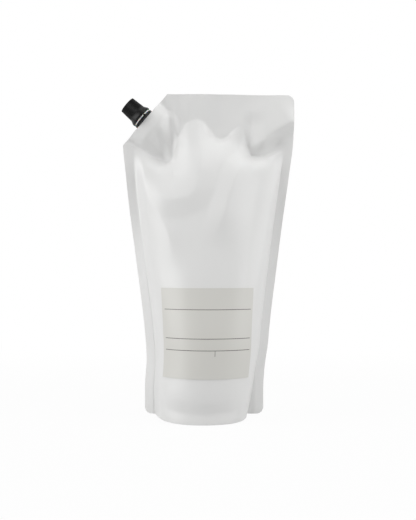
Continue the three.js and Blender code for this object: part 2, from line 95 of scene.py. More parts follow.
leaning = curve_through([(0, 0), (0.06, 0), (0.24, 0.68), (0.6, 0.64), (0.84, 0.92), (1, 1)])
widening = curve_through([(0, 0), (0.14, 0), (0.26, 0.1), (0.5, 0.45), (0.74, 0.82), (0.87, 0.98), (1, 1)])
fullness = curve_through([
    (0, 0.95), (0.03, 0.96), (0.1, 1), (0.23, 1), (0.364, 0.91), (0.474, 0.81), (0.583, 0.69),
    (0.686, 0.56), (0.777, 0.42), (0.83, 0.34), (0.9, 0.26), (1, 0.2),
])
roundness = curve_through([(0, 0.42), (0.1, 0.47), (0.35, 0.54), (0.7, 0.68), (1, 0.8)])


def middle(z):
    """Where the middle of the pouch is at a height: it leans to the right towards the top."""
    return top_lean * leaning(z / pack_height)


def half_width(z):
    """Half the distance between the two side edges, which close in towards the foot."""
    return (foot_width + (pack_width - foot_width) * widening(z / pack_height)) / 2


cut_bottom = pack_height - cut_rise
cut_top_x = float(middle(pack_height)) - pack_width / 2 + cut_run
cut_length = math.hypot(cut_run, cut_rise)
cut_middle = (cut_top_x - cut_run / 2, pack_height - cut_rise / 2)
cut_dip = 0.6
cut_dip_reach = 10.5
cut_dip_fade = 1.5


def left_edge(z):
    """The straight side, and above it the cut, which dips a little where the closure sits on it."""
    straight = middle(z) - half_width(z)
    along = np.abs(z - cut_middle[1]) * cut_length / cut_rise
    within = 1 - smooth_step(along, cut_dip_reach, cut_dip_reach + cut_dip_fade)
    dip = cut_dip * cut_length / cut_rise * within
    cut = cut_top_x - (pack_height - z) * cut_run / cut_rise + dip
    return np.where(z > cut_bottom, np.maximum(straight, cut), straight)


def right_edge(z):
    """The straight side with its rounded corner at the top."""
    over = np.clip(z - (pack_height - top_corner_radius), 0, None)
    inset = top_corner_radius - np.sqrt(np.clip(top_corner_radius ** 2 - over ** 2, 0, None))
    return middle(z) + half_width(z) - inset


def cell_at(z):
    """Where the filled part begins and ends between the side seals, which widen into the foot's ears."""
    growth = np.clip(1 - z / ear_height, 0, None) ** 2
    left, right = left_edge(z), right_edge(z)
    widest = (right - left) / 4
    return (
        left + np.minimum(widest, seal_width + (left_ear_width - seal_width) * growth),
        right - np.minimum(widest, seal_width + (right_ear_width - seal_width) * growth),
    )


# The soap's level ends in lobes. Above this line the two panels lie flat together, and below it they part.
lobe_line = np.array([
    (-90, 236), (-57, 238), (-53, 236), (-47, 230), (-38, 225), (-31.5, 223), (-28, 227), (-24, 237),
    (-22, 248), (-16, 258), (-8, 262), (0.5, 259), (5.5, 251), (10.5, 245), (15.5, 243), (20.5, 246),
    (27, 254), (32.5, 257), (36, 248), (38, 237), (41, 229), (52, 229), (62, 233), (68.5, 237), (90, 236),
], float)
parting_reach = 13
parting_low = 170
parting_side = 90
parting_rounds = 400


def parting_field():
    """On a grid of 1 mm, from 0 on the lobe line to 1 well below it, as film leaves a clamped edge."""
    xs = np.arange(-parting_side, parting_side + 1)
    zs = np.arange(parting_low, pack_height + 1)
    grid_x, grid_z = np.meshgrid(xs, zs)
    filled = grid_z < np.interp(grid_x, lobe_line[:, 0], lobe_line[:, 1])
    field = filled.astype(float)
    pull = 1 / parting_reach ** 2
    for _ in range(parting_rounds):
        edge = np.pad(field, 1, mode="edge")
        around = edge[1:-1, :-2] + edge[1:-1, 2:] + edge[:-2, 1:-1] + edge[2:, 1:-1]
        field = filled * (around + pull) / (4 + pull)
    return field


parted = parting_field()


def parting(x, z):
    """The field at a point of the front view, read between the four nearest points of its grid."""
    i = np.clip(x + parting_side, 0, parted.shape[1] - 1.001)
    j = np.clip(z - parting_low, 0, parted.shape[0] - 1.001)
    i0, j0 = i.astype(int), j.astype(int)
    a, b = i - i0, j - j0
    low = parted[j0, i0] * (1 - a) + parted[j0, i0 + 1] * a
    high = parted[j0 + 1, i0] * (1 - a) + parted[j0 + 1, i0 + 1] * a
    return low * (1 - b) + high * b


fold_round = 1.5
fold_fade = 0.3
fold_blend = 0.02


def fold(x, z, points, left, right, height):
    """A ridge along a line of points: two straight flanks, each of its own width, fading out at both ends."""
    knots = np.array(points, float)
    steps = np.linspace(0, 1, len(knots))
    fine = np.linspace(0, 1, 6 * len(knots))
    line = np.stack([curve_through(list(zip(steps, knots[:, k])))(fine) for k in (0, 1)], axis=1)
    spans = np.hypot(*np.diff(line, axis=0).T)
    nearest = np.full(x.shape, np.inf)
    along = np.zeros(x.shape)
    flank = np.full(x.shape, float(left))
    run = 0
    for (x0, z0), (x1, z1), span in zip(line[:-1], line[1:], spans):
        dx, dz = (x1 - x0) / span, (z1 - z0) / span
        t = np.clip((x - x0) * dx + (z - z0) * dz, 0, span)
        away = np.hypot(x - x0 - t * dx, z - z0 - t * dz)
        closer = away < nearest
        nearest = np.where(closer, away, nearest)
        along = np.where(closer, (run + t) / spans.sum(), along)
        on_right = dx * (z - z0) - dz * (x - x0) < 0
        flank = np.where(closer, np.where(on_right, float(right), float(left)), flank)
        run += span
    fade = smooth_step(along, 0, fold_fade) * smooth_step(1 - along, 0, fold_fade)
    slope = 1 - (np.hypot(nearest, fold_round) - fold_round) / flank
    return height * fade * (slope + np.sqrt(slope ** 2 + fold_blend)) / 2


# Folds of the swollen front: the line that the crest follows downwards, the reach of its two flanks to the
# left and the right of that way, and how far it stands out.
front_folds = [
    ([(-58, 244), (-55, 220), (-50, 200), (-38, 176), (-30, 156), (-27, 128)], 15, 14, 3.0),
    ([(-54, 206), (-40, 196), (-28, 190), (-14, 193), (-5, 204), (-3, 222), (-1, 244)], 24, 15, 3.2),
    ([(76, 238), (56, 230), (40, 223), (28, 211), (17, 176), (8, 146)], 20, 13, 4.4),
    ([(64, 224), (57, 180), (51, 140), (46, 80)], 9, 12, 1.6),
    ([(-40, 16), (-22, 10.5), (0, 8.5), (20, 10), (38, 15)], 8, 6, -1.4),
]
back_folds = [
    ([(-46, 226), (-28, 190), (-18, 146)], 13, 15, 2.4),
    ([(36, 228), (20, 196), (10, 156)], 16, 12, 2.8),
    ([(-40, 16), (-22, 10.5), (0, 8.5), (20, 10), (38, 15)], 8, 6, -1.4),
]
# Folds of the flat top, which both panels share. A minus sign makes one stand to the back.
top_folds = [
    ([(92, 268), (74, 258), (60, 250), (50, 240), (38, 226)], 9, 32, 6.5),
    ([(42, 270), (40, 248), (39, 224)], 12, 7, -2.6),
    ([(74, 240), (58, 237), (46, 232), (36, 224)], 6, 5, -2.0),
    ([(-38, 286), (-31.5, 262), (-28, 240), (-27.5, 212)], 3.5, 15, -3.0),
    ([(-62, 274), (-50, 259), (-39, 241), (-33, 212)], 5, 24, -3.0),
    ([(-74, 246), (-57, 240), (-47, 233.5), (-38, 228), (-24, 222)], 4, 3, -1.4),
    ([(-24, 292), (-22, 262), (-20, 246)], 8, 8, -1.6),
    ([(12, 292), (12, 240)], 12, 10, -1.8),
]

# Where the film is drawn over the spout's boat, it bulges to an eye along the cut, and the boat stiffens it.
boat_half_length = 15
boat_half_thickness = 5.6
boat_height = 10
eye_half_length = 22
eye_half_thickness = 6.45
eye_taper = 1.3
eye_reach = 34
stiff_half_length = 12
stiff_height = 9
stiff_margin = 10


def from_the_cut(x, z):
    """How far a point lies along the cut from its middle, and how far in from it."""
    along = ((x - cut_middle[0]) * cut_run + (z - cut_middle[1]) * cut_rise) / cut_length
    inward = ((x - cut_middle[0]) * cut_rise - (z - cut_middle[1]) * cut_run) / cut_length
    return along, inward


def spout_swell(x, z):
    """Half the thickness that the boat gives the film around it."""
    along, inward = from_the_cut(x, z)
    outline = np.clip(1 - (along / eye_half_length) ** 2, 0, None) ** eye_taper
    return eye_half_thickness * outline * smooth_step(eye_reach - inward, 0, eye_reach - boat_height)


def stiffened(x, z):
    """1 over the spout's boat, which no fold can cross, and 0 well away from it."""
    along, inward = from_the_cut(x, z)
    beside = smooth_step(np.abs(along), stiff_half_length, stiff_half_length + stiff_margin)
    below = smooth_step(inward, stiff_height, stiff_height + stiff_margin)
    return (1 - beside) * (1 - below)


# The left side swells more softly than the right one, most of all in its lower part, and leaves its seal at a
# slant. A fold fades out towards the seals and where the two panels lie together.
left_softness = 0.4
left_softness_fade = (120, 230)
seal_roundness = 1.1
seal_sharpness = 12
fold_hold_parted = 1.4
fold_hold_section = 3


def swell(x, z, folds):
    """Half the thickness of the filled part at a point of the front view."""
    left, right = cell_at(z)
    left = np.where(z > cut_bottom, middle(z) - half_width(z) + seal_width, left)
    share = np.clip((2 * x - left - right) / (right - left), -1, 1)
    softer = 1 + left_softness * (1 - smooth_step(z, *left_softness_fade))
    round_left = roundness(z / pack_height) * softer
    round_left = round_left + (seal_roundness - round_left) * share ** seal_sharpness
    round_at = np.where(share < 0, round_left, roundness(z / pack_height))
    section = (1 - share ** 2) ** round_at
    full = foot_depth / 2 * fullness(z / pack_height) * section
    apart = parting(x, z)
    out = full * apart
    held = np.clip(fold_hold_parted * apart, 0, 1) * np.clip(fold_hold_section * section, 0, 1)
    for points, left_flank, right_flank, height in folds:
        out = out + held * fold(x, z, points, left_flank, right_flank, height)
    return np.maximum(np.maximum(seal_half, spout_swell(x, z)), out)


# The filled pouch pulls both side seals round to the front in its lower part, the left one further.
left_curl = 4.4
left_curl_fade = (120, cut_bottom - 10)
right_curl = 2.1
right_curl_fade = (110, 210)


def sway(x, z):
    """How far the seals curl and the flat top waves, but no fold crosses the film that the boat stiffens."""
    free = (1 - stiffened(x, z)) * (1 - parting(x, z))
    on_left = np.clip(1 - (x - left_edge(z)) / seal_width, 0, 1)
    on_left = on_left * (1 - smooth_step(z, *left_curl_fade))
    on_right = np.clip(1 - (right_edge(z) - x) / seal_width, 0, 1)
    on_right = on_right * (1 - smooth_step(z, *right_curl_fade))
    curl = left_curl * on_left + right_curl * on_right
    return curl - free * sum(fold(x, z, *each) for each in top_folds)


def front_at(x, z):
    """How far back the front panel lies at a point of the front view."""
    return sway(x, z) - swell(x, z, front_folds)


def back_at(x, z):
    """The same for the back panel."""
    return sway(x, z) + swell(x, z, back_folds)


left_ear_sweep = 1.3
right_ear_sweep = 2


def rim_height(x):
    """The foot's rim touches the ground in front and behind, and lifts to an ear at each end."""
    ground = np.zeros_like(x)
    share = np.clip(swell(x, ground, []) / (foot_depth / 2), 0, 1)
    from_end = np.minimum(x - left_edge(ground), right_edge(ground) - x)
    over = np.clip(ear_corner_radius - from_end, 0, None)
    corner = ear_corner_radius - np.sqrt(np.clip(ear_corner_radius ** 2 - over ** 2, 0, None))
    return ear_lift * (1 - share) ** np.where(x < 0, left_ear_sweep, right_ear_sweep) + corner


# The mesh has its columns closer together at the sides of the foot, and evenly spaced further up.
seal_columns = 9
cell_columns = 132
even_columns_from = cut_bottom - 30


def columns_at(z):
    """The points across the pouch at one height: cut edge, seal, filled part, seal, cut edge."""
    left_cell, right_cell = cell_at(z)
    left, right = left_edge(z), right_edge(z)
    seal = np.concatenate([[0, edge_round / seal_width], np.linspace(0, 1, seal_columns + 1)[1:]])
    crowding = 1 - smooth_step(z, ear_height, even_columns_from)
    even = np.linspace(0, 1, cell_columns + 1)
    across = even + crowding * ((1 - np.cos(math.pi * even)) / 2 - even)
    return np.concatenate([
        left + (left_cell - left) * seal,
        left_cell + (right_cell - left_cell) * across[1:-1],
        right - (right - right_cell) * seal[::-1],
    ])


foot_rows_top = 18
creased_from = 185
top_round = pack_height - top_corner_radius * (1 - np.sin(np.radians(np.arange(0, 90, 9))))
row_heights = np.concatenate([
    np.linspace(0, skirt_height, 9)[:-1],
    np.linspace(skirt_height, foot_rows_top, 10)[:-1],
    np.linspace(foot_rows_top, ear_height, 22)[:-1],
    np.linspace(ear_height, creased_from, 58)[:-1],
    np.linspace(creased_from, pack_height - top_corner_radius, 98)[:-1],
    top_round,
    [pack_height - edge_round, pack_height],
])


# Near the foot's ends, where it gets thin, its parts keep to these shares of half its thickness.
wall_limit = 0.5
groove_limit = 0.7
# The share of the underside's rows of points that form the groove inside its skirt.
groove_rows = 0.4


def underside_at(x, rim, steps=18):
    """From under the front rim to the middle: skirt, groove, and the gusset pressed flat on the ground."""
    half = swell(x, np.zeros_like(x), [])
    opened = np.clip((half - seal_half) / (foot_depth / 2 - seal_half), 0, 1)
    wall = np.minimum(skirt_wall, half * wall_limit)
    groove = np.minimum(wall + groove_width, half * groove_limit)
    left, right = cell_at(np.zeros_like(x))
    beyond = np.abs(x - (left + right) / 2) - foot_flat_width / 2
    ends = np.clip(beyond / ((right - left - foot_flat_width) / 2), 0, 1) ** 2
    hollow = groove_height * np.sqrt(opened)
    floor = ends * (rim + hollow)
    rows = []
    for step in range(steps + 1):
        t = step / steps
        if t < groove_rows:
            s = t / groove_rows
            rows.append((-(half - wall - (groove - wall) * s ** 2), rim + hollow * (1 - (1 - s) ** 2)))
        else:
            s = (t - groove_rows) / (1 - groove_rows)
            bend = s * s * (3 - 2 * s)
            rows.append((-(half - groove) * (1 - s), (rim + hollow) * (1 - bend) + floor * bend))
    return rows


# The flat top sags a little towards its right corner.
top_sag = 1.2
top_sag_width = 60
top_sag_from = 240


def pouch_shell():
    """Points in rings: from the middle of the underside up the front, over the top and down the back."""
    grid = np.array([columns_at(np.array(float(z))) for z in row_heights])
    heights = np.repeat(row_heights[:, None], grid.shape[1], axis=1)
    rim = rim_height(grid[0])
    lifted = heights + rim * np.clip(1 - heights / ear_height, 0, None)
    towards_right = smooth_step(grid, 0, top_sag_width)
    lifted = lifted - top_sag * towards_right * smooth_step(heights, top_sag_from, pack_height)
    front = front_at(grid, heights)
    back = back_at(grid, heights)
    top_middle = (front[-1] + back[-1]) / 2
    front[-1] = top_middle
    back[-1] = top_middle
    bent = sway(grid[0], heights[0])
    under = underside_at(grid[0], rim)
    rows = [(grid[0], bent + y, z) for y, z in reversed(under)]
    rows += [(grid[j], front[j], lifted[j]) for j in range(len(row_heights))]
    rows += [(grid[j], back[j], lifted[j]) for j in reversed(range(len(row_heights) - 1))]
    rows += [(grid[0], bent - y, z) for y, z in under[:-1]]
    return np.array(rows)


rings = pouch_shell()
ring_count, column_count = rings.shape[0], rings.shape[2]
bpy.ops.mesh.primitive_grid_add(x_subdivisions=column_count - 1, y_subdivisions=ring_count - 1, size=1)
pouch = bpy.context.object
pouch.name = "film_pouch"
places = rings.transpose(0, 2, 1).reshape(-1, 3) * mm
pouch.data.vertices.foreach_set("co", places.ravel().astype(np.float32))
pouch.data.update()


def close_the_ends(piece, rows, columns):
    """Joins the last ring of points to the first, and closes the two side edges by strips."""
    at = np.arange(rows * columns).reshape(rows, columns)
    faces = [list(p.vertices) for p in piece.data.polygons]
    faces += [[at[-1, i], at[-1, i + 1], at[0, i + 1], at[0, i]] for i in range(columns - 1)]
    for side, turn in ((0, 1), (columns - 1, -1)):
        for j in range(rows // 2 + 1):
            strip = [at[j, side], at[(j + 1) % rows, side], at[-j - 1, side], at[-j, side]]
            strip = list(dict.fromkeys(int(v) for v in strip))
            if len(strip) > 2:
                faces.append(strip[::turn])
    points = [v.co.copy() for v in piece.data.vertices]
    piece.data.clear_geometry()
    piece.data.from_pydata(points, [], faces)


def select_only(piece):
    bpy.ops.object.select_all(action="DESELECT")
    bpy.context.view_layer.objects.active = piece
    piece.select_set(True)


def merge_and_face_out(piece, gap=0.001):
    """Merges points closer than a gap in millimetres, and turns the faces outwards."""
    select_only(piece)
    bpy.ops.object.mode_set(mode="EDIT")
    bpy.ops.mesh.select_all(action="SELECT")
    bpy.ops.mesh.remove_doubles(threshold=gap * mm)
    bpy.ops.mesh.normals_make_consistent(inside=False)
    bpy.ops.object.mode_set(mode="OBJECT")


close_the_ends(pouch, ring_count, column_count)
merge_and_face_out(pouch, gap=0.002)
bpy.ops.object.shade_smooth_by_angle(angle=math.radians(40))
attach(pouch, "pack")
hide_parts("pouch")


def linear(code):
    """An sRGB hex colour as the linear colour that Blender's sockets take."""
    parts = [int(code[i:i + 2], 16) / 255 for i in (1, 3, 5)]
    return [c / 12.92 if c <= 0.04045 else ((c + 0.055) / 1.055) ** 2.4 for c in parts] + [1]


def new_material(name, color, roughness, **sockets):
    """A material with its colour, its roughness and any other value of the shader's own sockets."""
    material = bpy.data.materials.new(name)
    material.use_nodes = True
    shader = material.node_tree.nodes["Principled BSDF"]
    shader.inputs["Base Color"].default_value = linear(color)
    shader.inputs["Roughness"].default_value = roughness
    for socket, value in sockets.items():
        shader.inputs[socket.replace("_", " ")].default_value = value
    return material, shader


def add_node(material, kind, settings=None, **links):
    """Adds a node to a material or the world, with its own settings, its sockets' values, and its links."""
    node = material.node_tree.nodes.new(kind)
    for name, value in (settings or {}).items():
        setattr(node, name, value)
    for name, value in links.items():
        socket = node.inputs[int(name[1:])] if name[0] == "i" and name[1:].isdigit() else node.inputs[name]
        if isinstance(value, bpy.types.NodeSocket):
            material.node_tree.links.new(value, socket)
        else:
            socket.default_value = value
    return node


# Matt polyester laminated over polyethylene: a broad pale sheen on a grey white, with a slight waviness of
# the web. The fine grain is drawn coarser than the real one, so that it shows.
film, film_shader = new_material("matt_laminated_film", "#DDDDDC", 0.34, Specular_IOR_Level=0.6)
film_space = add_node(film, "ShaderNodeTexCoord").outputs["Object"]
film_wave = add_node(film, "ShaderNodeTexNoise", Vector=film_space, Scale=1 / (14 * mm), Detail=2.0)
film_grain = add_node(film, "ShaderNodeTexNoise", Vector=film_space, Scale=1 / (0.9 * mm), Detail=2.0)
film_relief = add_node(
    film, "ShaderNodeBump", Height=film_wave.outputs["Fac"], Strength=0.6, Distance=0.15 * mm,
)
film_fine = add_node(
    film, "ShaderNodeBump", Height=film_grain.outputs["Fac"], Strength=0.3, Distance=0.012 * mm,
    Normal=film_relief.outputs["Normal"],
)
film.node_tree.links.new(film_fine.outputs["Normal"], film_shader.inputs["Normal"])
pouch.data.materials.append(film)

# The spout is one moulding of natural polyethylene: a boat welded into the cut corner, a flange, a wide bead
# that keeps the tamper band down and shows as a pale line under the cap, and a threaded neck. It is turned on
# its axis, and the boat is extruded.
closure_place = Matrix.Translation(Vector((cut_middle[0], 0, cut_middle[1])) * mm)
closure_place = closure_place @ Matrix.Rotation(-math.atan2(cut_rise, cut_run), 4, "Y")
bore_radius = 4.3
neck_radius = 5.45
neck_lip = 0.4
neck_top = 17.4
flange_radius = 5.75
flange_base = -0.25
flange_top = 0.55
bead_radius = 9.4
bead_base = 2.15
bead_top = 3.15
thread_lead = 3
thread_turns = 1.5
thread_depth = 0.7
thread_width = 1
thread_crest = 0.5
thread_root = 0.3
thread_below_top = 2


def turn_on_lathe(name, profile, steps=128):
    """A closed profile of (radius, height) points, spun round the closure's axis into a solid."""
    bpy.ops.object.select_all(action="DESELECT")
    bpy.ops.mesh.primitive_circle_add(vertices=len(profile), radius=mm, fill_type="NOTHING")
    piece = bpy.context.object
    piece.name = name
    for vertex, (radius, height) in zip(piece.data.vertices, profile):
        vertex.co = Vector((radius, 0, height)) * mm
    bpy.ops.object.mode_set(mode="EDIT")
    bpy.ops.mesh.select_all(action="SELECT")
    bpy.ops.mesh.spin(steps=steps, angle=2 * math.pi, center=(0, 0, 0), axis=(0, 0, 1))
    bpy.ops.object.mode_set(mode="OBJECT")
    merge_and_face_out(piece)
    return piece


def soften_edges(piece, width, angle=35):
    """Rounds the edges that are sharper than an angle, as a moulding's are, and shades it smooth."""
    select_only(piece)
    bevel = piece.modifiers.new("rounding", "BEVEL")
    bevel.width = width * mm
    bevel.segments = 2
    bevel.limit_method = "ANGLE"
    bevel.angle_limit = math.radians(angle)
    bpy.ops.object.modifier_apply(modifier=bevel.name)
    bpy.ops.object.shade_smooth_by_angle(angle=math.radians(angle))


def join_into(piece, *others):
    select_only(piece)
    for other in others:
        other.select_set(True)
    bpy.ops.object.join()


spout = turn_on_lathe("spout_moulding", [
    (bore_radius, -boat_height), (neck_radius, -boat_height), (neck_radius, flange_base),
    (flange_radius, flange_base), (flange_radius, flange_top), (neck_radius, flange_top),
    (neck_radius, bead_base), (bead_radius, bead_base), (bead_radius, bead_top), (neck_radius, bead_top),
    (neck_radius, neck_top - neck_lip), (neck_radius - neck_lip, neck_top), (bore_radius, neck_top),
])
soften_edges(spout, width=0.12)

thread_start = neck_top - thread_below_top - thread_lead * thread_turns - thread_width
bpy.ops.object.select_all(action="DESELECT")
bpy.ops.mesh.primitive_circle_add(vertices=4, radius=mm, fill_type="NOTHING")
thread = bpy.context.object
thread_profile = [
    (neck_radius - thread_root, thread_start + thread_width),
    (neck_radius + thread_depth, thread_start + (thread_width + thread_crest) / 2),
    (neck_radius + thread_depth, thread_start + (thread_width - thread_crest) / 2),
    (neck_radius - thread_root, thread_start),
]
for vertex, (radius, height) in zip(thread.data.vertices, thread_profile):
    vertex.co = Vector((radius, 0, height)) * mm
bpy.ops.object.mode_set(mode="EDIT")
bpy.ops.mesh.select_all(action="SELECT")
bpy.ops.mesh.edge_face_add()
bpy.ops.object.mode_set(mode="OBJECT")
helix = thread.modifiers.new("helix", "SCREW")
helix.axis = "Z"
helix.angle = 2 * math.pi * thread_turns
helix.screw_offset = thread_lead * thread_turns * mm
helix.steps = 96
helix.render_steps = 96
bpy.ops.object.modifier_apply(modifier=helix.name)
merge_and_face_out(thread)
bpy.ops.object.shade_smooth_by_angle(angle=math.radians(35))

boat_steps = 48
boat_edge_half = 0.25
boat_taper = 0.8
bpy.ops.object.select_all(action="DESELECT")
bpy.ops.mesh.primitive_circle_add(vertices=boat_steps, radius=mm, fill_type="NGON")
boat = bpy.context.object
for i, vertex in enumerate(boat.data.vertices):
    turn = 2 * math.pi * i / boat_steps
    reach = math.cos(turn)
    thick = max(boat_edge_half, boat_half_thickness * max(0, 1 - reach * reach) ** boat_taper)
    vertex.co = Vector((boat_half_length * reach, math.copysign(thick, math.sin(turn)), flange_base)) * mm
bpy.ops.object.mode_set(mode="EDIT")
bpy.ops.mesh.select_all(action="SELECT")
bpy.ops.mesh.extrude_region_move(
    TRANSFORM_OT_translate={"value": (0, 0, -(boat_height + flange_base) * mm)},
)
bpy.ops.object.mode_set(mode="OBJECT")
merge_and_face_out(boat)
soften_edges(boat, width=0.2)
join_into(spout, thread, boat)
spout.data.transform(closure_place)
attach(spout, "pack")
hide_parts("spout")

# Natural polyethylene, injection moulded: milky, slightly waxy, and lit from within at its thin edges. The
# mould's grain is drawn coarser than the real one.
natural_pe, pe_shader = new_material(
    "natural_moulded_polyethylene", "#E9E8E2", 0.38,
    Subsurface_Weight=0.25, Subsurface_Scale=1.5 * mm, IOR=1.51,
)
pe_space = add_node(natural_pe, "ShaderNodeTexCoord").outputs["Object"]
pe_grain = add_node(natural_pe, "ShaderNodeTexNoise", Vector=pe_space, Scale=1 / (0.6 * mm), Detail=1.0)
pe_bump = add_node(
    natural_pe, "ShaderNodeBump", Height=pe_grain.outputs["Fac"], Strength=0.25, Distance=0.01 * mm,
)
natural_pe.node_tree.links.new(pe_bump.outputs["Normal"], pe_shader.inputs["Normal"])
spout.data.materials.append(natural_pe)

# The tamper band is a ring of black polypropylene that stays on the neck under the bead. Four thin bridges
# join it to the cap before the first opening. The ring is turned, and the bridges stand on its rim.
band_radius = 9.8
band_wall = 3.9
band_base = -0.3
band_top = 2.05
band_chamfer_run = 2
band_chamfer_rise = 0.8
bridge_count = 4
bridge_width = 1.6
bridge_depth = 0.4
bridge_turn = 16
bridge_reach = 0.85
band = turn_on_lathe("tamper_ring", [
    (band_radius - band_wall, band_base), (band_radius - band_chamfer_run, band_base),
    (band_radius, band_base + band_chamfer_rise), (band_radius, band_top),
    (band_radius - band_wall, band_top),
])
soften_edges(band, width=0.12)
bridges = []
for i in range(bridge_count):
    bpy.ops.object.select_all(action="DESELECT")
    bpy.ops.mesh.primitive_cube_add(size=mm)
    bridge = bpy.context.object
    low, high = band_top - bridge_depth, band_top + bridge_reach
    shape = Matrix.Diagonal((bridge_depth, bridge_width, high - low, 1))
    turned = Matrix.Rotation(math.radians(bridge_turn) + 2 * math.pi * i / bridge_count, 4, "Z")
    stand = Matrix.Translation(Vector((band_radius - bridge_depth / 2, 0, (low + high) / 2)) * mm)
    bridge.data.transform(turned @ stand @ shape)
    soften_edges(bridge, width=0.1)
    bridges.append(bridge)
join_into(band, *bridges)
band.data.transform(closure_place)
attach(band, "pack")
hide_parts("tamper_band")

# Black polypropylene, injection moulded in a polished tool: a soft highlight on its edges, satin faces, and a
# gloss that is a little patchy. The grain is drawn coarser than the real one.
black_pp, pp_shader = new_material(
    "black_moulded_polypropylene", "#090909", 0.33, IOR=1.49, Specular_IOR_Level=0.25,
)
pp_space = add_node(black_pp, "ShaderNodeTexCoord").outputs["Object"]
pp_grain = add_node(black_pp, "ShaderNodeTexNoise", Vector=pp_space, Scale=1 / (0.5 * mm), Detail=2.0)
pp_bump = add_node(
    black_pp, "ShaderNodeBump", Height=pp_grain.outputs["Fac"], Strength=0.3, Distance=0.01 * mm,
)
black_pp.node_tree.links.new(pp_bump.outputs["Normal"], pp_shader.inputs["Normal"])
pp_patchy = add_node(black_pp, "ShaderNodeTexNoise", Vector=pp_space, Scale=1 / (6 * mm), Detail=3.0)
pp_gloss = add_node(
    black_pp, "ShaderNodeMapRange", Value=pp_patchy.outputs["Fac"], i1=0.3, i2=0.7, i3=0.28, i4=0.4,
)
black_pp.node_tree.links.new(pp_gloss.outputs[0], pp_shader.inputs["Roughness"])
band.data.materials.append(black_pp)

# The sealing disc is punched from a sheet of white foamed polyethylene and pressed against the cap's roof,
# where it seals on the neck's lip.
disc_radius = 6.15
disc_base = 17.75
disc_top = 18.75
disc = turn_on_lathe("sealing_disc", [
    (0, disc_base), (disc_radius, disc_base), (disc_radius, disc_top), (0, disc_top),
])
soften_edges(disc, width=0.15)
disc.data.transform(closure_place)
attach(disc, "liner")
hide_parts("cap_liner")

# White foamed polyethylene, cut through its closed cells: dull, with a fine pitted face.
foam, foam_shader = new_material("white_foamed_polyethylene", "#F2F1EC", 0.75)
foam_space = add_node(foam, "ShaderNodeTexCoord").outputs["Object"]
foam_cells = add_node(foam, "ShaderNodeTexVoronoi", Vector=foam_space, Scale=1 / (0.35 * mm))
foam_bump = add_node(
    foam, "ShaderNodeBump", Height=foam_cells.outputs["Distance"], Strength=0.4, Distance=0.05 * mm,
)
foam.node_tree.links.new(foam_bump.outputs["Normal"], foam_shader.inputs["Normal"])
disc.data.materials.append(foam)

# The screw cap is one moulding of the same black polypropylene: a skirt, a flare, a grip with fine upright
# ribs and a flat roof. It is turned hollow, and the ribs are then pressed into the grip.
cap_base = 3.3
cap_skirt_top = 5.15
skirt_radius = 9.9
flare_radius = 9.2
flare_height = 6.45
grip_base = 8.2
grip_foot_radius = 8.3
grip_top_radius = 7.6
cap_top = 20.4
cap_roof = 19.1
cap_edge = 0.5
cap_broken_edge = 0.15
cavity_radius = 6.5
skirt_room_radius = 8.85
skirt_room_top = 5.5
rib_count = 44
rib_depth = 0.35
rib_run_in = 1.4
ribbed_from_radius = 7
ribbed_from_height = 8.5
grip_rows = 10
grip_side = [
    (
        grip_foot_radius + (grip_top_radius - grip_foot_radius) * i / grip_rows,
        grip_base + (cap_top - cap_edge - grip_base) * i / grip_rows,
    )
    for i in range(grip_rows + 1)
]
cap = turn_on_lathe("screw_cap", [
    (0, cap_top), (0, cap_roof), (cavity_radius, cap_roof),
    (cavity_radius, skirt_room_top + skirt_room_radius - cavity_radius), (skirt_room_radius, skirt_room_top),
    (skirt_room_radius, cap_base), (skirt_radius - cap_broken_edge, cap_base),
    (skirt_radius, cap_base + cap_broken_edge), (skirt_radius, cap_skirt_top),
    (flare_radius, flare_height), *grip_side,
    (grip_top_radius - cap_broken_edge, cap_top - cap_broken_edge), (grip_top_radius - cap_edge, cap_top),
], steps=rib_count * 6)
for vertex in cap.data.vertices:
    radius = math.hypot(vertex.co.x, vertex.co.y) / mm
    height = vertex.co.z / mm
    if radius > ribbed_from_radius and height > ribbed_from_height:
        turn = math.atan2(vertex.co.y, vertex.co.x)
        dent = rib_depth * (0.5 - 0.5 * math.cos(rib_count * turn))
        dent = dent * smooth_step(height, grip_base, grip_base + rib_run_in)
        dent = dent * (1 - smooth_step(height, cap_top - cap_edge, cap_top))
        vertex.co.x *= 1 - dent / radius
        vertex.co.y *= 1 - dent / radius
select_only(cap)
bpy.ops.object.shade_smooth_by_angle(angle=math.radians(28))
cap.data.transform(closure_place)
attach(cap, "cap")
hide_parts("cap")
cap.data.materials.append(black_pp)

# The label is cut from matt coated paper, printed warm grey with thin black rules, and stuck to the front. It
# follows the film, so it is made as a sheet of its real width that is measured along the curved front.
label_width = 86
label_height = 76
label_bottom = 38.6
label_shift = -0.6
label_gap = 0.3
label_thickness = 0.15
label_columns = 84
label_rows = 60
label_search = 60
slope_step = 0.5
bpy.ops.object.select_all(action="DESELECT")
bpy.ops.mesh.primitive_grid_add(x_subdivisions=label_columns, y_subdivisions=label_rows, size=1)
label = bpy.context.object
label.name = "printed_label"


